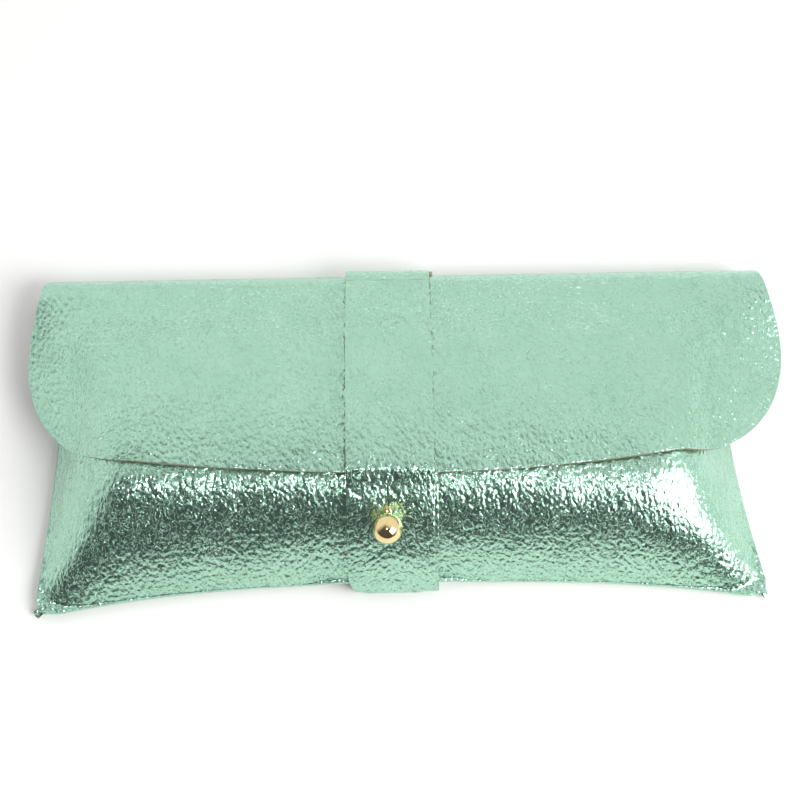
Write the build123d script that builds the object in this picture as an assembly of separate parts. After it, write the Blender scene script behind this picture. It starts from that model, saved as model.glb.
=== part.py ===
from build123d import *
from math import atan2, cos, degrees, exp, hypot, log, radians, sin, sqrt
import os

# Soft leather glasses case lying on its back. X runs across the case, +Y points up the case to the
# fold its flap turns over, and Z is its thickness. The back rests on Z = 0. Millimetres.

# ---- driving dimensions ----
leather = 1.2              # foil-finished split leather
gap = 0.3                  # air kept between pieces that move past each other
seam_allowance = 4.5       # turned inward all round the pocket
seam_top = 3.0             # height of the pocket's seamed edge

left_waist, right_waist = 82.3, 76.3      # half widths of the pocket at its narrowest
left_flare, right_flare = 5.0, 8.6        # how far its bottom corners spread
left_top, right_top = 3.0, 9.0            # how far it spreads toward the fold
waist_y = 8.0
bottom_y, left_drop, right_drop, tip_x = -34.5, 6.8, 5.7, 86.0
crest_y, crest_rise = -11.0, 19.6        # where the front starts to curve down, and how far
side_slope, soft_corner = 1.5, 3.2
mouth_y = 21.0             # free top edge of the front panel, under the flap

fold_y, fold_radius = 35.1, 4.05          # leather's mid line round the top fold
strap_lift_off = 1.25                     # the strap under the back raises the fold by this much
flap_rise = 24.2                          # top of the flap at its lower edge
flap_side_top = 7.0                       # where the flap's sides droop to
flap_edge_y = -13.2
flap_half, flap_corner = 89.8, 25.0

strap_x, strap_width = -3.6, 20.0
tail_gap = 0.35            # from the front panel to the strap's tail
tail_start, tail_end = -15.6, -33.0       # where the tail lies on the front panel, by its height up the case
tongue_start, tongue_end = -15.5, -33.4
stud_y = -21.8
ball_d, neck_d, base_d, base_t = 7.0, 3.2, 6.6, 0.5
screw_d, screw_head_d, screw_head_t = 2.2, 5.0, 0.5
keyhole_d, slit_w, slit_len = 4.4, 1.0, 8.0

stitch_pitch, stitch_len, thread_d = 3.2, 2.5, 0.5

# ---- worked out from them ----
fold_z = strap_lift_off + leather / 2 + fold_radius
fold_top = fold_z + fold_radius + leather / 2
strap_fold_r = fold_radius + leather + 0.05
strap_left, strap_right = strap_x - strap_width / 2, strap_x + strap_width / 2


def ease(value, start, end):
    """0 before start, 1 after end, smooth between them."""
    r = min(max((value - start) / (end - start), 0.0), 1.0)
    return r * r * (3 - 2 * r)


def soft_min(values, reach):
    return -reach * log(sum(exp(-v / reach) for v in values))


def soft_max(a, b, reach):
    return -soft_min([-a, -b], reach)


# ---- the shapes of the leather ----
def side_width(y, waist, flare, top):
    """Half width of the pocket: waisted in the middle, spreading to its corners and its fold."""
    low = max((waist_y - y) / (waist_y + 39.9), 0.0)
    high = max((y - waist_y) / (fold_y + leather - waist_y), 0.0)
    return waist + flare * low**1.5 + top * high**2


def left_side(y):
    return -side_width(y, left_waist, left_flare, left_top)


def right_side(y):
    return side_width(y, right_waist, right_flare, right_top)


def bottom_line(x):
    """The pocket's lower edge: its corners hang lower than its middle."""
    if x < 0:
        return bottom_y - left_drop * abs(x / tip_x) ** 2.6
    return bottom_y - right_drop * abs(x / tip_x) ** 3


def share(y):
    """0 at the fold, 1 at the flap's lower edge."""
    return 1 - ((y - flap_edge_y) / (fold_y - flap_edge_y)) ** 2


def drape(x, y):
    """Top of the flap's leather where nothing below pushes it up."""
    section = flap_side_top + (flap_rise - flap_side_top) * (1 - abs(x / flap_half) ** 3.2)
    return fold_top + share(y) * (section - fold_top)


def crown(x, y):
    """The stuffed pocket's height over its seamed edge, away from its sides: it curves down ever
    faster from its crest to its lower edge."""
    fall = crest_rise * max((crest_y - y) / (crest_y - bottom_line(x)), 0.0) ** 2
    under = fold_top + share(max(y, flap_edge_y)) * (flap_rise - fold_top)
    return under - leather * 1.12 - 0.3 - seam_top - 0.8 * (x / 80) ** 2 - fall


def pocket_top(x, y):
    """Outer face of the front panel."""
    walls = [
        side_slope * (x - left_side(y)),
        side_slope * (right_side(y) - x),
        crown(x, y),
    ]
    return seam_top + soft_min(walls, soft_corner)


def flap_under(x, y):
    """Inner face of the flap: it lies on the pocket and droops past its sides."""
    clear = gap + 0.05 - 14 * ease(y, 22, fold_y)
    return soft_max(pocket_top(x, y) + clear, drape(x, y) - leather * 1.1, 0.7)


def back_under(x, y):
    """Outer face of the back: on the table, but raised over the strap and toward the fold."""
    beside = ease(abs(x - strap_x), strap_width / 2 + 0.6, strap_width / 2 + 14)
    below = 1 - ease(y, 20, 32)
    return strap_lift_off - (strap_lift_off + 0.02) * beside * below


def thicker(surface, thickness):
    """The same surface moved by a leather thickness square to itself."""

    def moved(x, y):
        step = 0.5
        dx = (surface(x + step, y) - surface(x - step, y)) / (2 * step)
        dy = (surface(x, y + step) - surface(x, y - step)) / (2 * step)
        return surface(x, y) + thickness * sqrt(1 + min(dx * dx + dy * dy, 5.0))

    return moved


def ground_under(surface, nx=50, ny=30):
    """Everything below a height surface, over the whole case."""
    x0, x1, y0, y1 = -93.0, 93.0, -44.0, fold_y + 1.0
    rows = [
        [Vector(x, y, surface(x, y)) for y in (y0 + (y1 - y0) * j / ny for j in range(ny + 1))]
        for x in (x0 + (x1 - x0) * i / nx for i in range(nx + 1))
    ]
    top = Face.make_surface_from_array_of_points(rows, tol=0.02)
    return extrude(top, amount=60, dir=(0, 0, -1))


# ---- outlines seen from above ----
def upright(face, z0=-10.0, z1=50.0):
    return extrude(Pos(0, 0, z0) * face, amount=z1 - z0)


def pocket_outline(top_y, inset=0.0, open_top=0.0):
    """The pocket's outline up to top_y, drawn in by a seam allowance where inset is given."""
    steps = 6
    low = bottom_line(tip_x) + inset
    ys = [low + (top_y - low) * i / steps for i in range(steps + 1)]
    left = [(left_side(y) + inset, y) for y in ys]
    right = [(right_side(y) - inset, y) for y in ys]
    xs = [right[0][0] + (left[0][0] - right[0][0]) * i / 8 for i in range(9)]
    low_edge = [(x, bottom_line(x) + inset) for x in xs]
    low_edge[0], low_edge[-1] = right[0], left[0]
    top = top_y + open_top
    edges = [
        Spline(*left),
        Line(left[-1], (left[-1][0], top)) if open_top else None,
        Line((left[-1][0], top), (right[-1][0], top)),
        Line((right[-1][0], top), right[-1]) if open_top else None,
        Spline(*reversed(right)),
        Spline(*low_edge),
    ]
    return make_face([e for e in edges if e is not None])


def flap_outline():
    """Flared sides, broad round lower corners and a gently bowed lower edge."""
    top = fold_y + 0.5
    left_top_corner, right_top_corner = (left_side(fold_y) - 0.6, top), (right_side(fold_y) + 0.6, top)
    left_low, right_low = (-flap_half + 1.5, -5.2), (flap_half - 2.0, -4.0)
    face = make_face(
        [
            Line(left_top_corner, right_top_corner),
            Spline(right_top_corner, (flap_half - 0.8, 22), (flap_half, 12), right_low),
            ThreePointArc(right_low, (4.0, flap_edge_y), left_low),
            Spline(left_low, (-flap_half, 12), (-flap_half + 0.8, 22), left_top_corner),
        ]
    )
    low_corners = face.vertices().sort_by(Axis.Y)[:2]
    return fillet(low_corners, flap_corner)


# ---- bands of leather that run up and down the case ----
def wrap_point(y, out):
    """A point that far out from the front panel, square to it, under the strap."""
    step = 0.25
    slope = (pocket_top(strap_x, y + step) - pocket_top(strap_x, y - step)) / (2 * step)
    run = sqrt(1 + slope * slope)
    return (y - out * slope / run, pocket_top(strap_x, y) + out / run)


def wrap_place(y, out):
    """Where a fitting stands on the strap, with its own Z pointing out of the leather."""
    (y0, z0), (y1, z1) = wrap_point(y, 0.0), wrap_point(y, 1.0)
    at_y, at_z = wrap_point(y, out)
    return Pos(strap_x, at_y, at_z) * Rot(X=degrees(atan2(y0 - y1, z1 - z0)))


def fold_point(angle, radius):
    """A point on the top fold: 0 is under it, 90 the outermost, 180 on top."""
    a = radians(angle)
    return (fold_y + radius * sin(a), fold_z - radius * cos(a))


def band(mid_line, x0, x1, thickness=leather):
    """A strip whose mid line is given as points up the case, from x0 to x1."""
    sides = ([], [])
    last = len(mid_line) - 1
    for i, (y, z) in enumerate(mid_line):
        (y0, z0), (y1, z1) = mid_line[max(i - 1, 0)], mid_line[min(i + 1, last)]
        run = hypot(y1 - y0, z1 - z0)
        ny, nz = -(z1 - z0) / run * thickness / 2, (y1 - y0) / run * thickness / 2
        sides[0].append((y + ny, z + nz))
        sides[1].append((y - ny, z - nz))
    plane = Plane.YZ.offset(x0)
    near, far = Spline(*sides[0]), Spline(*sides[1])
    face = make_face([near, far, Line(sides[0][0], sides[1][0]), Line(sides[0][-1], sides[1][-1])])
    return extrude(plane * face, amount=x1 - x0, dir=(1, 0, 0))


def fold_arc(radius, start, end, count=12):
    return [fold_point(start + (end - start) * i / count, radius) for i in range(count + 1)]


# ---- stitches ----
def stitch(x, y, z, heading, depth):
    """One stitch: a bar along the seam with a leg down into the leather at each end."""
    bar = Box(stitch_len, thread_d, thread_d)
    legs = [
        Pos(s * (stitch_len - thread_d) / 2, 0, -depth / 2) * Box(thread_d, thread_d, abs(depth))
        for s in (-1, 1)
    ]
    return Pos(x, y, z) * Rot(Z=heading) * (bar + legs)


def stitches_along(point, start, end, level, depth):
    """A row of stitches at an even pitch along a curve point(t), each at the height level(x, y)."""
    count = max(1, int(abs(end - start) / stitch_pitch))
    row = []
    for i in range(count):
        t = start + (end - start) * (i + 0.5) / count
        (xa, ya), (xb, yb) = point(t - 0.2), point(t + 0.2)
        x, y = point(t)
        row.append(stitch(x, y, level(x, y), degrees(atan2(yb - ya, xb - xa)), depth))
    return Compound(children=row)


# ---- the pieces ----
def back_panel_blank():
    """The back before its stitch holes are made."""
    block = ground_under(lambda x, y: back_under(x, y) + leather)
    block -= ground_under(back_under)
    return block & upright(pocket_outline(fold_y + 0.5), 0.0)


def front_panel_blank():
    """A domed panel whose edge turns in over the back all round the pocket but its mouth."""
    outside = ground_under(pocket_top) & upright(pocket_outline(mouth_y), 0.0)
    floor = ground_under(lambda x, y: back_under(x, y) + leather)
    allowance = upright(pocket_outline(mouth_y), 0.0) - upright(
        pocket_outline(mouth_y, seam_allowance, open_top=5)
    )
    allowance &= ground_under(lambda x, y: back_under(x, y) + 2 * leather)
    hollow = ground_under(thicker(pocket_top, -leather)) - allowance
    return outside - hollow - floor


def flap_sheet():
    sheet = ground_under(thicker(flap_under, leather)) - ground_under(flap_under)
    return sheet & upright(flap_outline())


def strap_tail_line():
    """Under the back, round the bottom of the pocket and up its front."""
    turn, turn_y = 1.9, -34.2
    under = [(fold_y + 0.5 - i * 4.0, leather / 2) for i in range(17)]
    turn_arc = [radians(a) for a in range(0, 91, 18)]
    under += [(turn_y - turn * sin(a), leather / 2 + turn * (1 - cos(a))) for a in turn_arc]
    steps = 9
    ys = [tail_end + (tail_start - tail_end) * i / steps for i in range(steps + 1)]
    return under + [wrap_point(y, tail_gap + leather / 2) for y in ys]


def strap_tongue_line():
    """Off the fold, over the flap, and down the front to its free end."""
    ys = [fold_y + 0.6 - i * 2.5 for i in range(20)]
    flap_top = thicker(flap_under, leather)
    over = [(y, max(flap_top(x, y) for x in (strap_left, strap_x, strap_right))) for y in ys]
    over = [(y, z + 2 * gap + leather / 2 + 0.6 * ease(y, 28, 34)) for y, z in over]
    steps = 9
    ys = [tongue_start + (tongue_end - tongue_start) * i / steps for i in range(steps + 1)]
    return over + [wrap_point(y, tail_gap + leather + gap + leather / 2) for y in ys]


def strap_tongue():
    """The strap's free end, with round corners and a keyhole over the stud."""
    strip = band(strap_tongue_line(), strap_left, strap_right)
    outer = tail_gap + leather + gap + leather
    end = wrap_place(tongue_end, outer)
    corner = 5.0
    for side in (-1, 1):
        block = Pos(side * (strap_width / 2 - corner / 2), corner / 2, 0) * Box(corner, corner, 8)
        round_off = Pos(side * (strap_width / 2 - corner), corner, 0) * Cylinder(corner, 8)
        strip -= end * (block - round_off)
    place = wrap_place(stud_y, outer)
    hole = place * Cylinder(keyhole_d / 2, 6)
    slit = place * Pos(0, slit_len / 2 + 1, -1.2) * Box(slit_w, slit_len, 8)
    return strip - hole - slit


def stud():
    """Turned brass: a ball on a neck, with a base let into the strap and a tapped hole."""
    ball_out = tail_gap + 2 * leather + gap + 0.1 + ball_d / 2
    base_out = tail_gap + leather - 0.35
    rise = ball_out - base_out
    turned = Pos(0, 0, rise) * Sphere(ball_d / 2)
    turned += Pos(0, 0, rise / 2) * Cylinder(neck_d / 2, rise)
    turned += Pos(0, 0, -base_t / 2) * Cylinder(base_d / 2, base_t)
    turned -= Pos(0, 0, 0.9) * Cylinder(screw_d / 2, 3.2)
    return wrap_place(stud_y, base_out) * turned


def stud_screw():
    """Slotted screw that holds the stud from behind the strap."""
    head = Pos(0, 0, -screw_head_t / 2) * Cylinder(screw_head_d / 2, screw_head_t)
    head -= Pos(0, 0, -screw_head_t) * Box(screw_head_d + 1, 0.8, 0.5)
    shank_len = leather - 0.35 + 2.2
    shank = Pos(0, 0, shank_len / 2) * Cylinder(screw_d / 2, shank_len)
    return wrap_place(stud_y, tail_gap + 0.2) * (head + shank)


def side_point(side, inset):
    """Points of a side seam by height up the case."""
    edge = left_side if side < 0 else right_side
    return lambda y: (edge(y) - side * inset, y)


def on_allowance(x, y):
    """Where a seam's thread lies: on top of the turned-in edge of the front panel."""
    return back_under(x, y) + 2 * leather + thread_d / 2 + 0.06


def build_parts():
    """Every piece of the case, by name."""
    inset = seam_allowance / 2 + 0.4
    depth = 2 * leather
    low, high = -33, mouth_y - 2
    seam_rows = {
        "left_seam_stitches": stitches_along(side_point(-1, inset), low, high, on_allowance, depth),
        "right_seam_stitches": stitches_along(side_point(1, inset), low, high, on_allowance, depth),
        "bottom_seam_stitches": stitches_along(
            lambda x: (x, bottom_line(x) + inset), -76, 74, on_allowance, depth
        ),
    }
    strap_rows = Compound(
        children=[
            stitches_along(lambda y, x=x: (x, y), -30, 30, lambda x, y: thread_d / 2, -depth)
            for x in (strap_left + 2.2, strap_right - 2.2)
        ]
    )
    seam_thread = [s for row in seam_rows.values() for s in row.solids()]
    strap_thread = list(strap_rows.solids())
    tail = band(strap_tail_line(), strap_left, strap_right) & Pos(0, 0, 30) * Box(200, 200, 60)
    the_stud, the_screw = stud(), stud_screw()
    tail = tail - the_stud - the_screw - strap_thread
    back = back_panel_blank() - strap_thread - seam_thread
    front = front_panel_blank() - seam_thread
    pieces = {
        "back_panel": back,
        "front_panel": front,
        "strap_back_and_tail": tail,
        "strap_back_stitches": strap_rows,
        "button_stud": the_stud,
        "button_stud_screw": the_screw,
        "fold_leather": band(fold_arc(fold_radius, 40, 140), left_side(fold_y), right_side(fold_y)),
        "strap_over_fold": band(fold_arc(strap_fold_r, 40, 140), strap_left, strap_right),
        "flap": flap_sheet(),
        "strap_tongue": strap_tongue(),
    }
    pieces.update(seam_rows)
    return pieces


os.makedirs("parts", exist_ok=True)
for node, shape in build_parts().items():
    export_step(shape, f"parts/{node}.step")
    print(node, round(shape.volume, 1), len(shape.solids()), shape.bounding_box())
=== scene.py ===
"""Soft glasses case in foil-finished leather, lying on its back with its flap strapped shut."""

from __future__ import annotations

import logging
import math
from dataclasses import dataclass
from enum import Enum
from typing import Callable, Sequence

import bpy
import numpy as np
from mathutils import Matrix, Vector

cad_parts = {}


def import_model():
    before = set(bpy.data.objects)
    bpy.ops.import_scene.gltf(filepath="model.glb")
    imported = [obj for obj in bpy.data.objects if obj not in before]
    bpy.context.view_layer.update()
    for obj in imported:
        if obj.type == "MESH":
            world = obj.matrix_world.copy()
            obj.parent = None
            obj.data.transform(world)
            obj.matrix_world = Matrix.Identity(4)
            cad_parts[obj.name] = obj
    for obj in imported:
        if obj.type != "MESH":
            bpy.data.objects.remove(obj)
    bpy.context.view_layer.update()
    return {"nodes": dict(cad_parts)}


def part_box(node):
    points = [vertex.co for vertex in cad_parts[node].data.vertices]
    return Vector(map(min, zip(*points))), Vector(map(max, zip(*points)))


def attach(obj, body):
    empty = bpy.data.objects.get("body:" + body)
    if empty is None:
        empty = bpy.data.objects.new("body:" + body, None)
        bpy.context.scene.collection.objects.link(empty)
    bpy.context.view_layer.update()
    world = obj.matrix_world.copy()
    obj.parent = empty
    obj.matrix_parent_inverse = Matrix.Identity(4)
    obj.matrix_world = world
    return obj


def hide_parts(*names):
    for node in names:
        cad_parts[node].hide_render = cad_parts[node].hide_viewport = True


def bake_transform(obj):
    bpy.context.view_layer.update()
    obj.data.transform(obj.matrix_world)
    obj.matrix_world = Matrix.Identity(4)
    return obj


LOG = logging.getLogger("glasses_case")
MM = 0.001
SMOOTH_BELOW = math.radians(40)
Grid = np.ndarray


class Body(str, Enum):
    """The moving bodies of the case."""

    POUCH = "pouch"
    SPINE = "spine"
    FLAP = "flap"
    STRAP = "strap"


class Face(int, Enum):
    """Which material slot of a leather piece a face takes."""

    FOIL = 0
    SUEDE = 1
    CUT_EDGE = 2


# ---------------------------------------------------------------- helpers


def ease(value: Grid, start: float, end: float) -> Grid:
    """Rises smoothly from 0 at start to 1 at end.

    Args:
        value: where to read it.
        start: where it leaves 0.
        end: where it reaches 1.

    Returns:
        The share at each value.
    """
    r = np.clip((value - start) / (end - start), 0.0, 1.0)
    return r * r * (3 - 2 * r)


def soft_min(values: Sequence[Grid], reach: float) -> Grid:
    """The smallest of several surfaces, rounded over reach where two meet."""
    return -reach * np.log(sum(np.exp(-v / reach) for v in values))


def soft_max(a: Grid, b: Grid, reach: float) -> Grid:
    """The larger of two surfaces, rounded over reach where they meet."""
    return -soft_min([-a, -b], reach)


@dataclass(frozen=True)
class Ripple:
    """Smooth irregular waves, as soft leather has where it is stuffed or pulled.

    Attributes:
        seed: picks the pattern.
        length: the usual wave length in millimetres.
        stretch: how many times longer the waves are along the second direction.
        count: how many waves are added up.
    """

    seed: int
    length: float
    stretch: float = 1.0
    count: int = 28

    def __call__(self, a: Grid, b: Grid) -> Grid:
        """The height of the waves, about -1 to 1, at flat places (a, b) in millimetres."""
        rng = np.random.default_rng(self.seed)
        total = np.zeros_like(np.asarray(a, float))
        for _ in range(self.count):
            angle, phase = rng.uniform(0, 2 * math.pi, 2)
            pitch = 2 * math.pi / (self.length * rng.uniform(0.65, 1.6))
            total += np.sin(pitch * (np.cos(angle) * a + np.sin(angle) * b / self.stretch) + phase)
        return total / math.sqrt(self.count)


def deselect_all() -> None:
    """Leaves object mode with nothing selected."""
    if bpy.context.object is not None and bpy.context.object.mode != "OBJECT":
        bpy.ops.object.mode_set(mode="OBJECT")
    bpy.ops.object.select_all(action="DESELECT")


def select_only(piece: bpy.types.Object) -> None:
    """Selects one piece and makes it the active one."""
    deselect_all()
    piece.select_set(True)
    bpy.context.view_layer.objects.active = piece


def apply_modifier(piece: bpy.types.Object, kind: str, **settings: object) -> None:
    """Adds a modifier to a piece and applies it.

    Args:
        piece: the mesh object.
        kind: the modifier's type.
        **settings: its settings by name.
    """
    select_only(piece)
    modifier = piece.modifiers.new(kind.title(), kind)
    for name, value in settings.items():
        setattr(modifier, name, value)
    bpy.ops.object.modifier_apply(modifier=modifier.name)


def settle(piece: bpy.types.Object) -> None:
    """Puts a finished piece's place, turn and size into its mesh."""
    select_only(piece)
    bpy.ops.object.transform_apply(location=True, rotation=True, scale=True)


# ---------------------------------------------------------------- materials


def linear(colour: str) -> tuple[float, float, float, float]:
    """Turns an sRGB hex colour into the linear one that shaders take.

    Args:
        colour: six hex digits, with or without a leading #.

    Returns:
        Red, green, blue and an alpha of 1.
    """
    digits = colour.lstrip("#")
    channels = [int(digits[i : i + 2], 16) / 255 for i in (0, 2, 4)]
    red, green, blue = [c / 12.92 if c <= 0.04045 else ((c + 0.055) / 1.055) ** 2.4 for c in channels]
    return (red, green, blue, 1.0)


def add(
    tree: bpy.types.NodeTree, kind: str, inputs: dict | None = None, **settings: object
) -> bpy.types.Node:
    """Adds a shader node, sets it up and links it.

    Args:
        tree: the node tree.
        kind: the node's type without its ShaderNode prefix.
        inputs: for each input's name or number, an output to link or a value to set.
        **settings: the node's own properties.

    Returns:
        The new node.
    """
    made = tree.nodes.new(f"ShaderNode{kind}")
    for name, value in settings.items():
        setattr(made, name, value)
    for key, value in (inputs or {}).items():
        if isinstance(value, bpy.types.NodeSocket):
            tree.links.new(value, made.inputs[key])
        else:
            made.inputs[key].default_value = value
    return made


def mix_colours(
    tree: bpy.types.NodeTree, share: bpy.types.NodeSocket, first: str | bpy.types.NodeSocket, second: str
) -> bpy.types.NodeSocket:
    """Mixes a colour, or another node's colour, with a second colour by a share."""
    mix = add(tree, "Mix", {"Factor": share}, data_type="RGBA")
    if isinstance(first, str):
        mix.inputs[6].default_value = linear(first)
    else:
        tree.links.new(first, mix.inputs[6])
    mix.inputs[7].default_value = linear(second)
    return mix.outputs[2]


def new_material(name: str) -> tuple[bpy.types.Material, bpy.types.NodeTree, bpy.types.Node]:
    """An empty node material with its output.

    Returns:
        The material, its tree and its output node.
    """
    material = bpy.data.materials.new(name)
    material.use_nodes = True
    tree = material.node_tree
    tree.nodes.clear()
    return material, tree, add(tree, "OutputMaterial")


@dataclass(frozen=True)
class FoilLeather:
    """Split leather with a mint metal foil pressed on: a mirror-like skin over a pebbled, crackled grain.

    The foil follows every pebble of the grain, so the eye sees sparkle wherever light meets dark, and
    fine dark cracks where the foil has broken over a crease. The darker colour along the creases is partly
    that broken foil and partly painted shade, for the dark room mirrored in the crinkles.
    """

    name: str = "foil_leather"
    foil: str = "#B4DCC8"
    foil_cool: str = "#A3D0B8"
    # colour along the creases: partly the real broken foil, partly painted shade of the crinkles
    crack_and_shade_colour: str = "#5E8F78"
    roughness: float = 0.2
    pebble: float = 1.0      # mm across one pebble of the grain
    crease: float = 1.3       # mm between the longer creases
    relief: float = 0.17     # mm from crack to pebble top

    def build(self) -> bpy.types.Material:
        """Makes the material. It reads the piece's UV map, which holds flat leather in centimetres."""
        material, tree, output = new_material(self.name)
        flat = add(tree, "UVMap", uv_map="flat_cm").outputs["UV"]
        wander = add(tree, "TexNoise", {"Vector": flat, "Scale": 3.2, "Detail": 2.0})
        shifted = add(
            tree, "VectorMath", {0: wander.outputs["Color"], 1: (0.09, 0.09, 0.0)}, operation="MULTIPLY"
        )
        place = add(tree, "VectorMath", {0: flat, 1: shifted.outputs[0]}, operation="ADD").outputs[0]
        drawn_out = add(tree, "Mapping", {"Vector": place, "Scale": (1.0, 0.7, 1.0)}).outputs[0]
        pebbles = add(
            tree, "TexVoronoi", {"Vector": drawn_out, "Scale": 10 / self.pebble, "Randomness": 1.0},
            feature="SMOOTH_F1", voronoi_dimensions="2D",
        )
        fine = add(
            tree, "TexNoise",
            {"Vector": drawn_out, "Scale": 10 / self.pebble, "Detail": 1.0, "Roughness": 0.45,
             "Distortion": 0.8},
        )
        worms = add(
            tree, "TexNoise",
            {"Vector": drawn_out, "Scale": 10 / self.crease, "Detail": 1.5, "Roughness": 0.5,
             "Distortion": 1.2},
        )
        off_line = add(tree, "Math", {0: worms.outputs["Fac"], 1: 0.5}, operation="SUBTRACT")
        off_line = add(tree, "Math", {0: off_line.outputs[0]}, operation="ABSOLUTE")
        seen_line = add(
            tree, "MapRange", {"Value": off_line.outputs[0], "From Min": 0.018, "From Max": 0.0},
            interpolation_type="SMOOTHSTEP",
        )
        pebble_top = add(tree, "Math", {0: 1.0, 1: pebbles.outputs["Distance"]}, operation="SUBTRACT")
        grain = add(tree, "Math", {0: pebble_top.outputs[0], 1: fine.outputs["Fac"]}, operation="ADD")
        height = add(
            tree, "Math", {0: seen_line.outputs[0], 1: -0.45, 2: grain.outputs[0]}, operation="MULTIPLY_ADD"
        )
        bump = add(
            tree, "Bump", {"Height": height.outputs[0], "Strength": 1.0, "Distance": self.relief * MM}
        )
        cloudy = add(tree, "TexNoise", {"Vector": flat, "Scale": 0.9, "Detail": 3.0})
        tint = mix_colours(tree, cloudy.outputs["Fac"], self.foil, self.foil_cool)
        # darker colour along the crease lines: partly broken foil, partly painted shade standing in for the
        # dark room mirrored in the crinkles
        crack_and_shade_share = add(tree, "Math", {0: seen_line.outputs[0], 1: 0.14}, operation="MULTIPLY")
        colour = mix_colours(tree, crack_and_shade_share.outputs[0], tint, self.crack_and_shade_colour)
        rough = add(
            tree, "MapRange",
            {"Value": fine.outputs["Fac"], "From Min": 0.3, "From Max": 0.7,
             "To Min": self.roughness - 0.05, "To Max": self.roughness + 0.07},
        )
        shader = add(
            tree, "BsdfPrincipled",
            {"Base Color": colour, "Roughness": rough.outputs[0], "Metallic": 1.0,
             "Normal": bump.outputs[0]},
        )
        tree.links.new(shader.outputs[0], output.inputs[0])
        return material


@dataclass(frozen=True)
class Suede:
    """The flesh side of split leather: matt, pale grey-green fibres with a short nap."""

    name: str = "suede_flesh_side"
    colour: str = "#B5B9A8"
    shade: str = "#9A9F8E"
    fibre: float = 0.45       # mm across a tuft

    def build(self) -> bpy.types.Material:
        """Makes the material."""
        material, tree, output = new_material(self.name)
        flat = add(tree, "TexCoord").outputs["Object"]
        tufts = add(
            tree, "TexNoise",
            {"Vector": flat, "Scale": 1 / (self.fibre * MM), "Detail": 4.0, "Roughness": 0.7},
        )
        cloud = add(tree, "TexNoise", {"Vector": flat, "Scale": 90.0, "Detail": 3.0})
        colour = mix_colours(tree, cloud.outputs["Fac"], self.colour, self.shade)
        bump = add(tree, "Bump", {"Height": tufts.outputs["Fac"], "Strength": 0.8, "Distance": 0.12 * MM})
        shader = add(
            tree, "BsdfPrincipled",
            {"Base Color": colour, "Roughness": 0.93, "Normal": bump.outputs[0], "Sheen Weight": 0.25,
             "Sheen Roughness": 0.5, "Specular IOR Level": 0.25},
        )
        tree.links.new(shader.outputs[0], output.inputs[0])
        return material


@dataclass(frozen=True)
class CutEdge:
    """Raw knife-cut edge of the leather: greige fibres, left unpainted."""

    name: str = "raw_cut_edge"
    colour: str = "#A9A493"
    shade: str = "#857F70"

    def build(self) -> bpy.types.Material:
        """Makes the material."""
        material, tree, output = new_material(self.name)
        place = add(tree, "TexCoord").outputs["Object"]
        fibres = add(tree, "TexNoise", {"Vector": place, "Scale": 2600.0, "Detail": 3.0, "Roughness": 0.65})
        colour = mix_colours(tree, fibres.outputs["Fac"], self.colour, self.shade)
        bump = add(tree, "Bump", {"Height": fibres.outputs["Fac"], "Strength": 0.7, "Distance": 0.08 * MM})
        shader = add(
            tree, "BsdfPrincipled",
            {"Base Color": colour, "Roughness": 0.85, "Normal": bump.outputs[0],
             "Specular IOR Level": 0.3},
        )
        tree.links.new(shader.outputs[0], output.inputs[0])
        return material


@dataclass(frozen=True)
class PolishedBrass:
    """Turned brass, polished and gold plated: a sharp warm mirror with the faintest turning marks."""

    name: str = "polished_gold_brass"
    colour: str = "#EED6A0"
    turning: float = 0.12     # mm between turning marks

    def build(self) -> bpy.types.Material:
        """Makes the material."""
        material, tree, output = new_material(self.name)
        place = add(tree, "TexCoord").outputs["Object"]
        haze = add(tree, "TexNoise", {"Vector": place, "Scale": 900.0, "Detail": 2.0})
        rough = add(
            tree, "MapRange", {"Value": haze.outputs["Fac"], "To Min": 0.07, "To Max": 0.14}
        )
        marks = add(tree, "TexNoise", {"Vector": place, "Scale": 1 / (self.turning * MM), "Detail": 1.0})
        bump = add(tree, "Bump", {"Height": marks.outputs["Fac"], "Strength": 0.15, "Distance": 0.01 * MM})
        shader = add(
            tree, "BsdfPrincipled",
            {"Base Color": linear(self.colour), "Metallic": 1.0, "Roughness": rough.outputs[0],
             "Normal": bump.outputs[0]},
        )
        tree.links.new(shader.outputs[0], output.inputs[0])
        return material


@dataclass(frozen=True)
class SewingThread:
    """Bonded polyester thread: two plies laid together, pale green, slightly glossy."""

    name: str = "bonded_thread"
    colour: str = "#8FB39F"
    ply: float = 0.5          # mm between the turns of the plies

    def build(self) -> bpy.types.Material:
        """Makes the material."""
        material, tree, output = new_material(self.name)
        place = add(tree, "TexCoord").outputs["Object"]
        lay = add(tree, "Mapping", {"Vector": place, "Rotation": (0.0, 0.0, math.radians(35))}).outputs[0]
        plies = add(
            tree, "TexWave", {"Vector": lay, "Scale": 1 / (self.ply * MM) / 6.28, "Distortion": 0.6}
        )
        bump = add(tree, "Bump", {"Height": plies.outputs["Fac"], "Strength": 0.7, "Distance": 0.08 * MM})
        shader = add(
            tree, "BsdfPrincipled",
            {"Base Color": linear(self.colour), "Roughness": 0.55, "Normal": bump.outputs[0]},
        )
        tree.links.new(shader.outputs[0], output.inputs[0])
        return material


# ---------------------------------------------------------------- the shape of the case


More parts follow.
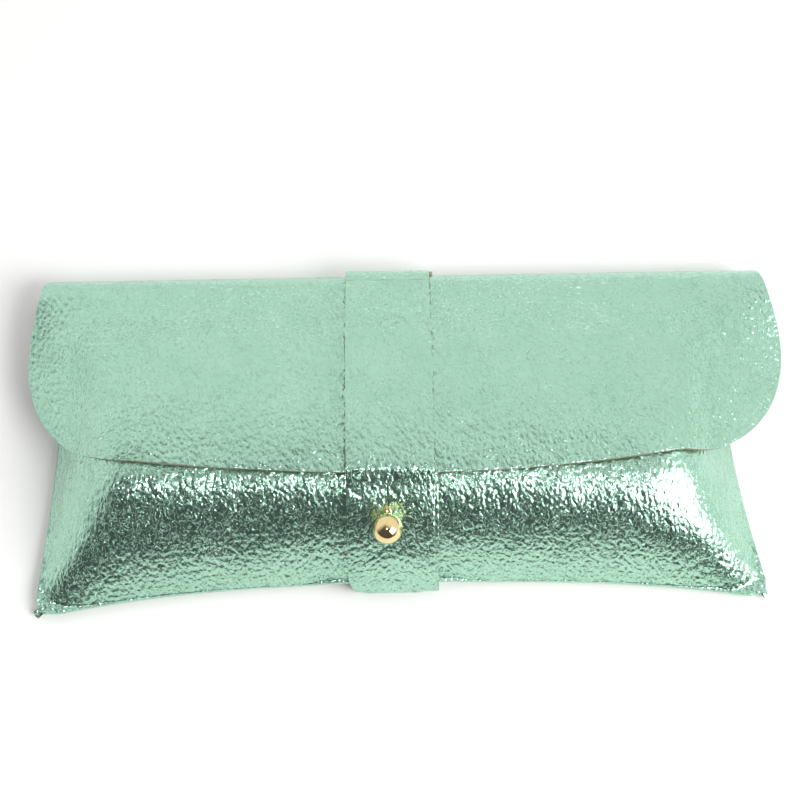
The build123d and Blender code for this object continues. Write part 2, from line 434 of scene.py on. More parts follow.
@dataclass
class CaseShape:
    """The case's driving sizes in millimetres, and the surfaces its leather lies on."""

    leather: float = 1.2
    fold_y: float = 35.1
    fold_radius: float = 4.65          # outer face of the leather round the top fold
    fold_z: float = 5.9
    flap_edge: float = -13.26
    flap_rise: float = 24.2
    flap_side_top: float = 7.0
    flap_half: float = 89.8
    seam_top: float = 3.0
    waist_y: float = 8.0
    left_waist: float = 82.3           # half widths at the waist
    right_waist: float = 76.3
    left_flare: float = 5.0            # how far the lower corners spread past the waist
    right_flare: float = 8.6
    left_top: float = 3.0              # how far the top spreads past the waist
    right_top: float = 9.0
    bottom_y: float = -34.5
    left_drop: float = 6.8
    right_drop: float = 5.7
    tip_x: float = 86.0
    crest_y: float = -11.0
    crest_rise: float = 19.6
    tail_gap: float = 0.35
    strap_lift_off: float = 1.25
    strap_x: float = -3.6
    strap_width: float = 20.0

    @classmethod
    def from_frame(cls) -> "CaseShape":
        """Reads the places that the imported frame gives."""
        low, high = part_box("back_panel")
        strap_low, strap_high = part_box("strap_tongue")
        flap_low, flap_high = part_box("flap")
        return cls(
            fold_y=high[1] / MM - 0.5,
            flap_half=flap_high[0] / MM + 0.4,
            flap_edge=flap_low[1] / MM,
            strap_x=(strap_low[0] + strap_high[0]) / 2 / MM,
            strap_width=(strap_high[0] - strap_low[0]) / MM,
        )

    @property
    def fold_top(self) -> float:
        """Height of the leather where it leaves the top fold."""
        return self.fold_z + self.fold_radius

    def side_width(self, y: Grid, waist: float, flare: float, top: float) -> Grid:
        """Half width of the pocket at a height up the case."""
        low = np.clip((self.waist_y - y) / (self.waist_y + 39.9), 0, None)
        high = np.clip((y - self.waist_y) / (self.fold_y + self.leather - self.waist_y), 0, None)
        return waist + flare * low**1.5 + top * high**2

    def left(self, y: Grid) -> Grid:
        """The pocket's left side."""
        return -self.side_width(y, self.left_waist, self.left_flare, self.left_top)

    def right(self, y: Grid) -> Grid:
        """The pocket's right side."""
        return self.side_width(y, self.right_waist, self.right_flare, self.right_top)

    def bottom(self, x: Grid) -> Grid:
        """The pocket's lower edge."""
        share = np.abs(x / self.tip_x)
        return self.bottom_y - np.where(x < 0, self.left_drop * share**2.6, self.right_drop * share**3)

    def share(self, y: Grid) -> Grid:
        """0 at the fold, 1 at the flap's lower edge."""
        return 1 - ((y - self.flap_edge) / (self.fold_y - self.flap_edge)) ** 2

    def drape(self, x: Grid, y: Grid) -> Grid:
        """Top of the flap where nothing below pushes it up."""
        rise = self.flap_rise - self.flap_side_top
        section = self.flap_side_top + rise * (1 - np.abs(x / self.flap_half) ** 3.2)
        return self.fold_top + self.share(y) * (section - self.fold_top)

    def pocket_top(self, x: Grid, y: Grid) -> Grid:
        """Outer face of the front panel: from its crest it curves down ever faster to its lower edge."""
        past = np.clip((self.crest_y - y) / (self.crest_y - self.bottom(x)), 0, 1.2)
        under = self.fold_top + self.share(np.maximum(y, self.flap_edge)) * (self.flap_rise - self.fold_top)
        crown = under - self.leather * 1.12 - 0.3 - self.seam_top - 0.8 * (x / 80) ** 2
        crown = crown - self.crest_rise * past**2
        walls = [
            1.5 * (x - self.left(y)),
            1.5 * (self.right(y) - x),
            crown,
        ]
        return self.seam_top + soft_min(walls, 3.2 + 3.0 * ease(-y, 4, 24))

    def flap_top(self, x: Grid, y: Grid) -> Grid:
        """Outer face of the flap: it lies on the pocket and droops past its sides."""
        def under(a: Grid, b: Grid) -> Grid:
            lifted = 0.35 - 14 * ease(b, 22, self.fold_y)
            return soft_max(self.pocket_top(a, b) + lifted, self.drape(a, b) - self.leather * 1.1, 1.7)

        step = 0.5
        dx = (under(x + step, y) - under(x - step, y)) / (2 * step)
        dy = (under(x, y + step) - under(x, y - step)) / (2 * step)
        return under(x, y) + self.leather * np.sqrt(1 + np.minimum(dx**2 + dy**2, 5.0))

    def back_under(self, x: Grid, y: Grid) -> Grid:
        """Outer face of the back: on the table, but raised over the strap and toward the fold."""
        beside = ease(np.abs(x - self.strap_x), self.strap_width / 2 + 0.6, self.strap_width / 2 + 14)
        below = 1 - ease(y, 20, 32)
        return self.strap_lift_off * (1 - beside * below) + 0 * y

    def on_front(self, y: Grid, out: float) -> tuple[Grid, Grid, Grid]:
        """A point that far out from the front panel under the strap, and the tilt of the panel there."""
        x, step = np.full_like(y, self.strap_x), 0.25
        slope = (self.pocket_top(x, y + step) - self.pocket_top(x, y - step)) / (2 * step)
        run = np.sqrt(1 + slope**2)
        return y - out * slope / run, self.pocket_top(x, y) + out / run, np.arctan(slope)

    def fold_arc(self, angle: Grid, radius: float) -> tuple[Grid, Grid]:
        """Up-the-case place and height on the top fold, 0 degrees under it and 180 on top."""
        return self.fold_y + radius * np.sin(angle), self.fold_z - radius * np.cos(angle)


# ---------------------------------------------------------------- leather pieces


def shaped_sheet(name: str, across: int, along: int, place: Callable[[Grid, Grid], Grid]) -> bpy.types.Object:
    """Models a sheet from a grid primitive by moving its points onto a surface.

    Args:
        name: the piece's name.
        across: divisions across the case.
        along: divisions along the leather.
        place: gives each point, in millimetres, from its two grid shares, each 0 to 1, as arrays of
            shape (across + 1, along + 1).

    Returns:
        The sheet, with its flat leather measured into the UV map flat_cm.
    """
    deselect_all()
    bpy.ops.mesh.primitive_grid_add(x_subdivisions=across, y_subdivisions=along, size=1.0, location=(0, 0, 0))
    sheet = bpy.context.object
    sheet.name = sheet.data.name = name
    mesh = sheet.data
    co = np.empty(len(mesh.vertices) * 3)
    mesh.vertices.foreach_get("co", co)
    co = co.reshape(-1, 3)
    column = np.rint((co[:, 0] + 0.5) * across).astype(int)
    row = np.rint((co[:, 1] + 0.5) * along).astype(int)
    u, v = np.meshgrid(np.linspace(0, 1, across + 1), np.linspace(0, 1, along + 1), indexing="ij")
    points = place(u, v)
    mesh.vertices.foreach_set("co", (points[column, row] * MM).ravel())
    run = np.linalg.norm(np.diff(points, axis=0), axis=2)
    a = np.concatenate([np.zeros((1, along + 1)), np.cumsum(run, axis=0)]) - run.sum(axis=0) / 2
    rise = np.linalg.norm(np.diff(points, axis=1), axis=2)
    b = np.concatenate([np.zeros((across + 1, 1)), np.cumsum(rise, axis=1)], axis=1)
    layer = mesh.uv_layers[0]
    layer.name = "flat_cm"
    loops = np.empty(len(mesh.loops), int)
    mesh.loops.foreach_get("vertex_index", loops)
    flat = np.stack([a[column, row], b[column, row]], axis=1) / 10
    layer.data.foreach_set("uv", flat[loops].ravel())
    mesh.update()
    return sheet


def relax_rows(points: Grid, start: int, end: int, rounds: int) -> Grid:
    """Smooths points along the leather between two rows, as leather rounds off a crease."""
    for _ in range(rounds):
        middle = points[:, start - 1 : end - 1] + 2 * points[:, start:end] + points[:, start + 1 : end + 1]
        points[:, start:end] = middle / 4
    return points


@dataclass
class Leather:
    """The leather both panels and the strap are cut from: its thickness and its three faces."""

    foil: bpy.types.Material
    suede: bpy.types.Material
    edge: bpy.types.Material
    thickness: float = 1.2
    edge_round: float = 0.16

    def finish(self, sheet: bpy.types.Object, thickness: float | None = None) -> bpy.types.Object:
        """Gives a sheet its thickness inward, its flesh side and its cut edges.

        Args:
            sheet: the foil side.
            thickness: in millimetres, where it isn't the leather's own.

        Returns:
            The same piece.
        """
        for material in (self.foil, self.suede, self.edge):
            sheet.data.materials.append(material)
        apply_modifier(
            sheet, "SOLIDIFY", thickness=(thickness or self.thickness) * MM, offset=-1.0,
            use_even_offset=False, material_offset=Face.SUEDE.value, material_offset_rim=Face.CUT_EDGE.value,
        )
        apply_modifier(
            sheet, "BEVEL", width=self.edge_round * MM, segments=2, limit_method="ANGLE",
            angle_limit=math.radians(55),
        )
        select_only(sheet)
        bpy.ops.object.shade_smooth_by_angle(angle=SMOOTH_BELOW)
        return sheet


@dataclass
class PocketPanels:
    """The stuffed pocket: a flat back and a domed front, seamed inside out and turned."""

    shape: CaseShape
    leather: Leather
    across: int = 290
    roll: float = 1.25         # mm radius of the turned edge
    allowance: float = 3.0     # mm turned in past the seam
    tip_round: float = 1.6     # mm the corner tips are rounded off by
    tip_reach: float = 3.4     # mm around a tip that this takes in
    left_tip_y: float = -39.8
    right_tip_y: float = -39.6
    mouth_y: float = 21.0      # the front panel's free edge under the flap
    back_inset: float = 1.1    # mm the back's cut edge lies inside the turned edge

    def edge_roll(self, over: Grid) -> tuple[Grid, Grid]:
        """How far the turned edge goes out and down.

        Args:
            over: 0 where the panel meets its edge, 1 where the roll ends, 2 at the allowance's end.

        Returns:
            The way outward and the way down, in millimetres.
        """
        start, end = math.radians(58), math.radians(172)
        angle = start + (end - start) * np.clip(over, 0, 1)
        out = self.roll * (np.sin(angle) - math.sin(start)) - self.allowance * np.clip(over - 1, 0, 1)
        down = self.roll * (math.cos(start) - np.cos(angle))
        return np.where(over > 0, out, 0.0), np.where(over > 0, down, 0.0)

    def tip_share(self, x: Grid, y: Grid, side: Grid) -> Grid:
        """1 at the pocket's lower corner on that side, fading to 0 around it."""
        s = self.shape
        tip_x = np.where(side < 0, s.left(self.left_tip_y), s.right(self.right_tip_y))
        return np.exp(-(((x - tip_x) ** 2 + (y - s.bottom(tip_x)) ** 2) / self.tip_reach**2))

    def front_place(self, u: Grid, v: Grid) -> Grid:
        """Places the front panel: its middle is the dome, its outer shares roll over the seam."""
        s, edge_u, edge_v = self.shape, 0.045, 0.12
        inner_u = np.clip((u - edge_u) / (1 - 2 * edge_u), 0, 1)
        inner_v = np.clip((v - edge_v) / (1 - edge_v), 0, 1)
        over_u = np.clip(np.maximum(edge_u - u, u - (1 - edge_u)) / edge_u, 0, 1) * 2
        over_v = np.clip((edge_v - v) / edge_v, 0, 1) * 2
        inner_v = inner_v**1.5
        mouth = self.mouth_y + 0.8 * np.cos(math.pi * (inner_u - 0.5))
        y = s.bottom_y + inner_v * (mouth - s.bottom_y)
        for _ in range(8):
            x = s.left(y) + inner_u * (s.right(y) - s.left(y))
            low = s.bottom(x)
            y = low + inner_v * (mouth - low)
        side = np.where(u < 0.5, -1.0, 1.0)
        near_tip = self.tip_share(x, y, side)
        z = s.pocket_top(x, y) - 2.4 * ease(y, 4, 19)
        z = z + 0.6 * near_tip
        to_edge = np.minimum(y - s.bottom(x), np.minimum(x - s.left(y), s.right(y) - x))
        pucker = Ripple(7, 5.5, 3.0)(x, y) * np.exp(-np.maximum(to_edge, 0) / 5.0)
        slack = Ripple(11, 17.0)(x, y) * ease(to_edge, 1, 10)
        folds = Ripple(23, 7.0, 2.2)(x, y) * ease(to_edge, 3, 12) * (1 - ease(y, -16, -8))
        z = z + 0.16 * pucker + 0.16 * slack + 0.07 * folds
        z = np.maximum(z, s.back_under(x, y) + self.leather.thickness + 1.75)
        out_u, down_u = self.edge_roll(over_u)
        out_v, down_v = self.edge_roll(over_v)
        x = x + side * out_u - side * self.tip_round * near_tip * 0.8
        y = y - out_v + self.tip_round * near_tip
        z = z - np.maximum(down_u, down_v)
        floor = s.back_under(x, y) + self.leather.thickness + 0.05
        z = np.maximum(z, floor)
        return np.stack([x, y, z], axis=2)

    def build_front(self) -> bpy.types.Object:
        """Models the front panel with its turned-in edge."""
        panel = self.leather.finish(shaped_sheet("front_panel_leather", self.across, 140, self.front_place))
        for face in panel.data.polygons:  # the turned edges cross at the tips, so their insides show there
            x, y, _ = face.center / MM
            if y < -36.5 and (x < -82.5 or x > 80.5):
                face.material_index = Face.FOIL.value
        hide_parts("front_panel")
        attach(panel, Body.POUCH.value)
        return panel

    def back_place(self, u: Grid, v: Grid) -> Grid:
        """Places the back: from its lower seam up to the fold and half way round it."""
        s = self.shape
        quarter = math.pi / 2 * s.fold_radius
        flat_run = s.fold_y - s.bottom_y
        run = v * (flat_run + quarter)
        angle = np.clip(run - flat_run, 0, None) / s.fold_radius
        t = np.clip(run / flat_run, 0, 1)
        y = s.bottom_y + t * flat_run
        for _ in range(6):
            inset = self.back_inset * (1 - ease(y, 18, 23))
            x = s.left(y) + inset + u * (s.right(y) - s.left(y) - 2 * inset)
            low = s.bottom(x) + self.back_inset
            y = low + t * (s.fold_y - low)
        side = np.where(u < 0.5, -1.0, 1.0)
        near_tip = self.tip_share(x, y, side)
        z = s.back_under(x, y) + 0 * x
        arc_y, arc_z = s.fold_arc(angle, s.fold_radius)
        past = angle > 0
        x = x - side * 0.8 * self.tip_round * near_tip
        y = np.where(past, arc_y, y + self.tip_round * near_tip)
        z = np.where(past, arc_z, z)
        return np.stack([x, y, z], axis=2)

    def build_back(self) -> bpy.types.Object:
        """Models the back and the lower half of the fold."""

        def place(u: Grid, v: Grid) -> Grid:
            return self.back_place(1 - u, v)

        back = self.leather.finish(shaped_sheet("back_leather", 200, 190, place), 1.16)
        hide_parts("back_panel", "fold_leather")
        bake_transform(back)
        return back


@dataclass
class Flap:
    """The flap: upper half of the fold, flared sides, round corners and a bowed lower edge."""

    shape: CaseShape
    leather: Leather
    across: int = 320
    along: int = 130
    corner: float = 26.0
    low_point: float = 4.0     # mm across the case where the lower edge hangs lowest
    bow_left: float = 4.4
    bow_right: float = 5.2

    def outline(self) -> tuple[Grid, Grid, Grid, Grid]:
        """The flap's outline as four runs of (x, run) points from the outermost line of the fold.

        Returns:
            Left side, right side, fold line and lower edge. Run is measured up from the fold line
            round the fold and then level down the case.
        """
        s = self.shape
        quarter = math.pi / 2 * s.fold_radius
        top_half_l, top_half_r = -s.left(s.fold_y), s.right(s.fold_y)
        edge = quarter + s.fold_y - s.flap_edge
        count = 400

        def side(sign: float, top_half: float, reach: float, low: float) -> Grid:
            wide, r = reach, self.corner
            rise = edge - low
            down = np.linspace(0, rise - r, count)
            flare = ease(down, -6, 24)
            x = top_half + (wide - top_half) * flare
            turn = np.linspace(0, math.pi / 2, count)
            arc_x = wide - r + r * np.cos(turn)
            arc_y = rise - r + r * np.sin(turn)
            across = sign * np.concatenate([x, arc_x[1:]])
            return np.stack([across, np.concatenate([down, arc_y[1:]])], axis=1)

        left = side(-1.0, top_half_l, s.flap_half - 0.6, self.bow_left)
        right = side(1.0, top_half_r, s.flap_half, self.bow_right)
        xs = np.linspace(left[-1, 0], right[-1, 0], 400)
        off = xs - self.low_point
        bow = np.where(off < 0, self.bow_left * (off / off[0]) ** 2, self.bow_right * (off / off[-1]) ** 2)
        lower = np.stack([xs, edge - bow], axis=1)
        return left, right, np.array([left[0], right[0]]), lower

    @staticmethod
    def along_run(points: Grid, shares: Grid) -> Grid:
        """Points at even shares of a run's length."""
        length = np.concatenate([[0.0], np.cumsum(np.linalg.norm(np.diff(points, axis=0), axis=1))])
        at = shares * length[-1]
        return np.stack([np.interp(at, length, points[:, i]) for i in range(2)], axis=-1)

    def place(self, u: Grid, v: Grid) -> Grid:
        """Places the flap by filling its outline and lifting it onto the pocket."""
        s = self.shape
        left, right, fold, lower = self.outline()
        half = 0.5 * math.pi / 2 * self.corner
        whole = np.concatenate([left, lower[1:-1], right[::-1]])
        length = np.concatenate([[0.0], np.cumsum(np.linalg.norm(np.diff(whole, axis=0), axis=1))])
        left_len = np.linalg.norm(np.diff(left, axis=0), axis=1).sum() - half
        right_len = np.linalg.norm(np.diff(right, axis=0), axis=1).sum() - half

        def at(distance: Grid) -> Grid:
            return np.stack([np.interp(distance, length, whole[:, i]) for i in range(2)], axis=-1)

        west, east = at(v * left_len), at(length[-1] - v * right_len)
        south = at(left_len + u * (length[-1] - left_len - right_len))
        north = self.along_run(fold, u)
        uu, vv = u[..., None], v[..., None]
        c00, c10, c01, c11 = fold[0], fold[1], at(np.array(left_len)), at(np.array(length[-1] - right_len))
        flat = (1 - vv) * north + vv * south + (1 - uu) * west + uu * east
        flat -= (1 - uu) * (1 - vv) * c00 + uu * (1 - vv) * c10 + (1 - uu) * vv * c01 + uu * vv * c11
        x, run = flat[..., 0], flat[..., 1]
        quarter = math.pi / 2 * s.fold_radius
        angle = math.pi / 2 + np.clip(run, 0, quarter) / s.fold_radius
        arc_y, arc_z = s.fold_arc(angle, s.fold_radius)
        y = s.fold_y - (run - quarter)
        z = s.flap_top(x, np.minimum(y, s.fold_y))
        level = run > quarter
        y, z = np.where(level, y, arc_y), np.where(level, z, arc_z)
        slack = Ripple(31, 26.0)(x, run) * ease(run, 6, 18)
        dents = Ripple(37, 9.0)(x, run) * ease(run, 8, 20)
        z = z + 0.16 * slack + 0.05 * dents
        points = np.stack([x, y, z], axis=2)
        rows = self.along
        return relax_rows(points, 2, int(rows * 0.4), 90)

    def build(self) -> bpy.types.Object:
        """Models the flap and the upper half of the fold."""
        flap = self.leather.finish(
            shaped_sheet("flap_leather", self.across, self.along, lambda u, v: self.place(1 - u, v))
        )
        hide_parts("flap")
        s = self.shape
        last_y, last_z = s.fold_arc(np.radians(160.0), s.fold_radius)
        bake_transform(flap)
        return flap


@dataclass
class Strap:
    """The strap: sewn up the back, round the bottom with the stud, and a free tongue over the flap."""

    shape: CaseShape
    leather: Leather
    gap: float = 0.3
    stud_y: float = -21.8       # where the stud stands, by its height up the front panel
    tongue_end: float = -33.9
    end_overhang: float = 1.6   # mm the tongue goes on past that
    corner: float = 4.6
    tail_shift: float = 0.9     # mm the tail lies to the right of the tongue
    keyhole: float = 3.8
    stud_shift: float = -0.8    # mm the stud stands off the strap's middle
    slit_width: float = 0.9
    slit_length: float = 9.4
    across: int = 44
    lift_angle: float = 160.0   # where on the fold the tongue starts to lift

    def sheet_along(
        self, name: str, line: Grid, along: int, centre: float, round_start: bool = False
    ) -> bpy.types.Object:
        """Models a strip of the strap along a line of (y, z) points on its outer face.

        Args:
            name: the piece's name.
            line: the outer face's line, foil side on the left of its direction of travel.
            along: divisions along the strip.
            centre: the strip's centre across the case.
            round_start: whether its first corners are rounded.

        Returns:
            The foil side, with no thickness yet.
        """
        run = np.concatenate([[0.0], np.cumsum(np.linalg.norm(np.diff(line, axis=0), axis=1))])
        half = self.shape.strap_width / 2

        def place(u: Grid, v: Grid) -> Grid:
            at = v * run[-1]
            reach = np.full_like(at, half)
            if round_start:
                inside = np.clip(self.corner - at, 0, self.corner)
                reach = half - self.corner + np.sqrt(np.maximum(self.corner**2 - inside**2, 1e-4))
            x = centre + (2 * u - 1) * reach
            y, z = np.interp(at, run, line[:, 0]), np.interp(at, run, line[:, 1])
            dy, dz = np.gradient(y, axis=1), np.gradient(z, axis=1)
            length = np.maximum(np.hypot(dy, dz), 1e-9)
            edge_roll = -0.06 * np.clip((np.abs(x - centre) - half + 2.2) / 2.2, 0, 1) ** 2
            wave = 0.06 * Ripple(41, 11.0)(x, at) + edge_roll
            return np.stack([x, y - wave * dz / length, z + wave * dy / length], axis=2)

        return shaped_sheet(name, self.across, along, place)

    def smooth_line(self, points: Sequence[tuple[float, float]], count: int, rounds: int) -> Grid:
        """An even, smoothed line through a few (y, z) points."""
        rough = np.array(points, float)
        length = np.concatenate([[0.0], np.cumsum(np.linalg.norm(np.diff(rough, axis=0), axis=1))])
        at = np.linspace(0, length[-1], count)
        line = np.stack([np.interp(at, length, rough[:, i]) for i in range(2)], axis=1)
        for _ in range(rounds):
            line[1:-1] = (line[:-2] + 2 * line[1:-1] + line[2:]) / 4
        return line

    def fold_line(self, start: float, end: float) -> list[tuple[float, float]]:
        """The strap's outer face round the top fold."""
        s = self.shape
        angles = np.linspace(math.radians(start), math.radians(end), 60)
        y, z = s.fold_arc(angles, s.fold_radius + 0.05 + self.leather.thickness)
        return list(zip(y, z))

    def build_back(self) -> bpy.types.Object:
        """Models the strap from its tail on the front, round the bottom and up the back to the fold."""
        s = self.shape
        ty, tz, _ = s.on_front(np.linspace(-15, -33, 60), s.tail_gap + self.leather.thickness)
        turn = np.radians(np.linspace(90, 0, 24))
        turn_y, turn_r = -34.3, 2.5
        by, bz = turn_y - turn_r * np.sin(turn), turn_r + 0.16 - turn_r * np.cos(turn)
        back = [(y, 0.16) for y in np.linspace(turn_y + 1, s.fold_y - 3, 80)]
        line = list(zip(ty, tz)) + list(zip(by, bz)) + back
        line += self.fold_line(1, 90)
        strip = self.sheet_along("strap_back_leather", self.smooth_line(line, 420, 12)[::-1], 300,
                                 s.strap_x + self.tail_shift)
        self.leather.finish(strip)
        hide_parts("strap_back_and_tail")
        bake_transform(strip)
        return strip

    def build_over_fold(self) -> bpy.types.Object:
        """Models the strap round the upper half of the fold."""
        s = self.shape
        line = self.smooth_line(self.fold_line(90, self.lift_angle)[::-1], 60, 0)
        strip = self.sheet_along("strap_fold_leather", line, 40, s.strap_x)
        self.leather.finish(strip)
        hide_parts("strap_over_fold")
        radius = s.fold_radius + 0.05 + self.leather.thickness
        last_y, last_z = s.fold_arc(np.radians(self.lift_angle), radius)
        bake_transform(strip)
        return strip

    def tongue_line(self) -> Grid:
        """The tongue's outer face from its free end, up the front and over the flap to the fold."""
        s = self.shape
        outer = s.tail_gap + 2 * self.leather.thickness + 0.15
        wy, wz, _ = s.on_front(np.linspace(self.tongue_end, -15.5, 70), outer)
        past = self.end_overhang / math.hypot(wy[0] - wy[1], wz[0] - wz[1])
        wy = np.insert(wy, 0, wy[0] + past * (wy[0] - wy[1]))
        wz = np.insert(wz, 0, wz[0] + past * (wz[0] - wz[1]))
        ys = np.linspace(s.flap_edge + 0.3, s.fold_y - 2.5, 60)
        lifted = s.flap_top(np.full_like(ys, s.strap_x), ys) + 0.25 + self.leather.thickness
        points = list(zip(wy, wz)) + list(zip(ys, lifted)) + self.fold_line(172, self.lift_angle)
        return self.smooth_line(points, 420, 14)

    def build_tongue(self) -> bpy.types.Object:
        """Models the free tongue and cuts its keyhole and slit."""
        s = self.shape
        tongue = self.sheet_along(
            "strap_tongue_leather", self.tongue_line(), 330, s.strap_x, round_start=True
        )
        self.leather.finish(tongue)
        self.cut_keyhole(tongue)
        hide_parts("strap_tongue")
        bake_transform(tongue)
        return tongue

    def stand_on(self, y: float, out: float) -> Matrix:
        """Where a fitting stands on the strap over the front, its own Z pointing out of the leather."""
        at_y, at_z, tilt = self.shape.on_front(np.array(y), out)
        middle = self.shape.strap_x + self.stud_shift
        place = Matrix.Translation(Vector((middle, float(at_y), float(at_z))) * MM)
        return place @ Matrix.Rotation(float(tilt), 4, "X")

    def cut_keyhole(self, tongue: bpy.types.Object) -> None:
        """Punches the round hole over the stud's neck and the slit above it."""
        outer = self.shape.tail_gap + 2 * self.leather.thickness
        deselect_all()
        bpy.ops.mesh.primitive_cylinder_add(vertices=40, radius=self.keyhole / 2 * MM, depth=8 * MM)
        punch = bpy.context.object
        punch.matrix_world = self.stand_on(self.stud_y, outer)
        bpy.ops.mesh.primitive_cube_add(size=1.0)
        knife = bpy.context.object
        knife.scale = (self.slit_width * MM, self.slit_length * MM, 8 * MM)
        way_up = Matrix.Translation(Vector((0, self.slit_length / 2 + 1.2, -1.4)) * MM)
        knife.matrix_world = self.stand_on(self.stud_y, outer) @ way_up @ Matrix.Diagonal((*knife.scale, 1.0))
        for cutter in (punch, knife):
            cutter.data.materials.append(self.leather.edge)
            settle(cutter)
            apply_modifier(tongue, "BOOLEAN", operation="DIFFERENCE", object=cutter, solver="EXACT",
                           material_mode="TRANSFER")
            bpy.data.objects.remove(cutter)
        select_only(tongue)
        bpy.ops.object.shade_smooth_by_angle(angle=SMOOTH_BELOW)


@dataclass
class BallStud:
    """The button stud: a polished ball on a waisted neck, with a base let into the strap."""

    strap: Strap
    brass: bpy.types.Material
    ball: float = 7.0
    neck: float = 3.2
    base: float = 6.6

    def build(self) -> bpy.types.Object:
        """Turns the stud from a disc, extruding and scaling it up its axis as on a lathe."""
        strap = self.strap
        outer = strap.shape.tail_gap + 2 * strap.leather.thickness + strap.gap
        centre = outer + 0.1 + self.ball / 2
        root = strap.shape.tail_gap + strap.leather.thickness - 0.85
        height = centre - root
        r = self.ball / 2
        base, neck = self.base / 2, self.neck / 2
        profile = [(base - 0.15, 0.0), (base, 0.15), (base, 0.6), (base - 0.2, 0.8),
                   (neck + 0.4, 0.95), (neck, 1.3)]
        start = math.asin(self.neck / 2 / r)
        for angle in np.linspace(start, math.pi, 26)[:-1]:
            profile.append((r * math.sin(angle), height - r * math.cos(angle)))
        deselect_all()
        first_r, first_z = profile[0]
        bpy.ops.mesh.primitive_circle_add(
            vertices=64, radius=first_r * MM, fill_type="NGON", location=(0, 0, 0)
        )
        stud = bpy.context.object
        stud.name = stud.data.name = "ball_stud_turned"
        bpy.ops.object.mode_set(mode="EDIT")
        bpy.ops.mesh.select_all(action="SELECT")
        last_r, last_z = first_r, first_z
        for radius, level in profile[1:]:
            bpy.ops.mesh.extrude_region_move(TRANSFORM_OT_translate={"value": (0, 0, (level - last_z) * MM)})
            bpy.ops.transform.resize(value=(radius / last_r, radius / last_r, 1.0))
            last_r, last_z = radius, level
        bpy.ops.mesh.merge(type="CENTER")
        bpy.ops.mesh.select_all(action="SELECT")
        bpy.ops.mesh.normals_make_consistent(inside=False)
        bpy.ops.object.mode_set(mode="OBJECT")
        stud.matrix_world = strap.stand_on(strap.stud_y, root)
        settle(stud)
        bpy.ops.object.shade_smooth_by_angle(angle=math.radians(35))
        stud.data.materials.append(self.brass)
        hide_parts("button_stud")
        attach(stud, Body.POUCH.value)
        return stud


# ---------------------------------------------------------------- the studio


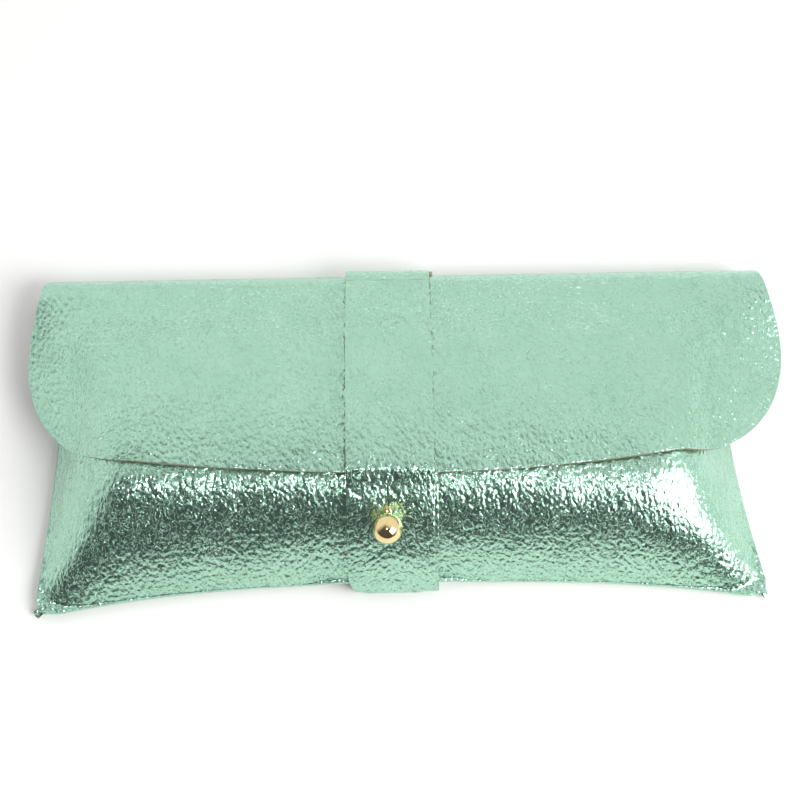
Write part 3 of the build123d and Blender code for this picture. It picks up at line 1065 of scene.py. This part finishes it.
@dataclass
class Studio:
    """A pale table, soft light all round but for a dark patch to the front, and the camera."""

    look_at: tuple[float, float, float] = (-1.06, 7.2, 12.0)
    elevation: float = 75.0
    distance: float = 480.0
    roll: float = -1.0
    frame_width: float = 188.0        # mm across the picture at the case
    table: str = "#F4F4F2"

    def build_table(self) -> None:
        """Makes a plain pale table under the case."""
        deselect_all()
        bpy.ops.mesh.primitive_plane_add(size=6.0, location=(0, 0, -0.00006))
        table = bpy.context.object
        table.name = "table"
        material, tree, output = new_material("pale_table")
        place = add(tree, "TexCoord").outputs["Object"]
        faint = add(tree, "TexNoise", {"Vector": place, "Scale": 40.0})
        bump = add(tree, "Bump", {"Height": faint.outputs["Fac"], "Strength": 0.05, "Distance": 0.0001})
        shader = add(tree, "BsdfPrincipled", {"Base Color": linear(self.table), "Roughness": 0.8,
                                              "Normal": bump.outputs[0]})
        tree.links.new(shader.outputs[0], output.inputs[0])
        table.data.materials.append(material)

    def build_sky(self) -> None:
        """Makes bright walls and a darker patch from overhead down to the front of the case."""
        world = bpy.data.worlds.new("soft_room")
        bpy.context.scene.world = world
        world.use_nodes = True
        tree = world.node_tree
        tree.nodes.clear()
        way = add(tree, "TexCoord").outputs["Generated"]
        parts = add(tree, "SeparateXYZ", {0: way}).outputs
        aside = add(tree, "Math", {0: parts["X"], 1: 0.25}, operation="ADD")
        aside = add(tree, "Math", {0: aside.outputs[0]}, operation="ABSOLUTE")
        front = add(tree, "Math", {0: aside.outputs[0], 1: -0.65}, operation="MULTIPLY")
        front = add(tree, "Math", {0: parts["Y"], 1: -1.0, 2: front.outputs[0]}, operation="MULTIPLY_ADD")
        patch = add(tree, "MapRange", {"Value": front.outputs[0], "From Min": -0.62, "From Max": 0.1},
                    interpolation_type="SMOOTHSTEP")
        mix = add(tree, "Mix", {"Factor": patch.outputs[0]}, data_type="RGBA")
        mix.inputs[6].default_value, mix.inputs[7].default_value = (1, 1, 1, 1), (0.1, 0.1, 0.1, 1)
        background = add(tree, "Background", {"Color": mix.outputs[2], "Strength": 1.0})
        output = add(tree, "OutputWorld")
        tree.links.new(background.outputs[0], output.inputs[0])

    def add_softbox(self, name: str, way: tuple[float, float, float], distance: float, size: float,
                    power: float) -> None:
        """A square softbox that faces the case from a direction.

        Args:
            name: the light's name.
            way: the direction it stands in, from the case.
            distance: metres from the case.
            size: its side in metres.
            power: in watts.
        """
        toward = Vector(way).normalized()
        light = bpy.data.lights.new(name, "AREA")
        light.energy, light.size = power, size
        box = bpy.data.objects.new(name, light)
        box.location = toward * distance
        box.rotation_euler = toward.to_track_quat("Z", "Y").to_euler()
        bpy.context.scene.collection.objects.link(box)

    def build_camera(self) -> None:
        """A camera nearly over the case, from its front."""
        target = Vector(self.look_at) * MM
        tilt = math.radians(self.elevation)
        back = Vector((0, -math.cos(tilt), math.sin(tilt)))
        lens = bpy.data.cameras.new("camera")
        lens.sensor_width = 36.0
        lens.lens = 36.0 * self.distance / self.frame_width
        lens.clip_start, lens.clip_end = 0.01, 20.0
        camera = bpy.data.objects.new("camera", lens)
        right = Vector((1, 0, 0))
        up = back.cross(right)
        turned = Matrix.Rotation(math.radians(self.roll), 3, back)
        right, up = turned @ right, turned @ up
        rotation = Matrix((right, up, back)).transposed()
        camera.matrix_world = Matrix.Translation(target + back * self.distance * MM) @ rotation.to_4x4()
        bpy.context.scene.collection.objects.link(camera)
        bpy.context.scene.camera = camera

    def build(self) -> None:
        """Sets the whole studio up."""
        self.build_table()
        self.build_sky()
        self.add_softbox("right_softbox", (0.62, -0.42, 0.66), 0.9, 0.6, 8.0)
        self.add_softbox("ceiling_lamp", (-0.05, -0.24, 0.97), 1.2, 0.12, 1.6)
        self.build_camera()
        bpy.context.scene.view_settings.view_transform = "Standard"


def build_materials() -> dict[str, bpy.types.Material]:
    """Makes every finish once."""
    finishes = (FoilLeather(), Suede(), CutEdge(), PolishedBrass(), SewingThread())
    return {finish.name: finish.build() for finish in finishes}


def dress_fittings(frame: dict, materials: dict[str, bpy.types.Material]) -> None:
    """Gives the sewing thread and the screw their finishes.

    Args:
        frame: the loaded frame.
        materials: the finishes by name.
    """
    for name, node in frame["nodes"].items():
        finish = materials["bonded_thread" if "stitches" in name else "polished_gold_brass"]
        if "stitches" in name or "stud" in name:
            node.data.materials.clear()
            node.data.materials.append(finish)
            LOG.info("dressed %s", name)


def main(frame: dict) -> None:
    """Builds the case piece by piece.

    Args:
        frame: the loaded frame.
    """
    materials = build_materials()
    shape = CaseShape.from_frame()
    leather = Leather(materials["foil_leather"], materials["suede_flesh_side"], materials["raw_cut_edge"])
    pocket = PocketPanels(shape, leather)
    strap = Strap(shape, leather)
    stud = BallStud(strap, materials["polished_gold_brass"])
    steps = (pocket.build_back, pocket.build_front, Flap(shape, leather).build, strap.build_over_fold,
             strap.build_back, strap.build_tongue, stud.build)
    for step in steps:
        piece = step()
        LOG.info("built %s with %d faces", piece.name, len(piece.data.polygons))
    dress_fittings(frame, materials)
    Studio().build()


if __name__ == "__main__":
    logging.basicConfig(level=logging.INFO)
    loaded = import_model()
    main(loaded)
